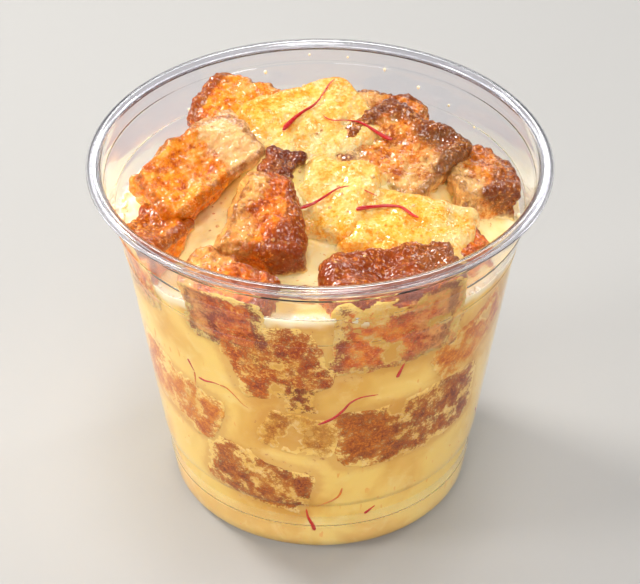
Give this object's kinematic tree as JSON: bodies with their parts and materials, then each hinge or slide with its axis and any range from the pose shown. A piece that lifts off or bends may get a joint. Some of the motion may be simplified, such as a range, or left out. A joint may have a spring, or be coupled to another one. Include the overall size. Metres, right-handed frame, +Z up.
{
  "type": "bread pudding cup",
  "caption": "Bread pudding of caramelised bread pieces set in pale custard with saffron threads, served in a clear tapered dessert cup with a rolled rim.",
  "frame": {"origin": "centre of the cup's foot, on the surface it stands on", "axes": "+Z up along the cup's axis; -Y towards the front, the side that shows in the picture; +X to the right seen from the front"},
  "size_m": [0.092, 0.092, 0.0784],
  "materials": {
    "cup": "clear glossy thin plastic sheet",
    "custard": "smooth, slightly translucent, wet",
    "bread_caramel": "toasted bread soaked in syrup, glossy, porous",
    "bread_dark": "dark caramelised crust, glossy",
    "bread_soaked": "bread soaked in custard, wet and porous",
    "bread_crumb": "pale bread crumb with browned edges, wet"
  },
  "bodies": {
    "root": {"cup": "cup", "custard": "custard", "bread_left_slab": "bread_caramel", "bread_ridge": "bread_dark", "bread_crown": "bread_soaked", "bread_right_slab": "bread_crumb", "bread_soaked_right": "bread_soaked", "bread_soaked_left": "bread_soaked", "bread_back_left": "bread_caramel", "bread_far_right": "bread_dark", "bread_front_right": "bread_dark", "bread_front_dark": "bread_dark", "bread_left_low": "bread_caramel", "bread_small_right": "bread_caramel", "bread_dark_nub": "bread_dark", "bread_back_right": "bread_crumb", "bread_side_middle": "bread_dark", "bread_side_crumb": "bread_dark", "bread_side_right": "bread_caramel", "bread_side_band": "bread_caramel", "bread_side_pale": "bread_crumb", "bread_side_low": "bread_caramel", "bread_side_left": "bread_caramel", "bread_back_a": "bread_caramel", "bread_back_b": "bread_crumb", "bread_back_c": "bread_caramel", "bread_back_d": "bread_caramel", "bread_back_e": "bread_dark", "bread_back_f": "bread_caramel", "bread_back_g": "bread_caramel"}
  },
  "joints": []
}
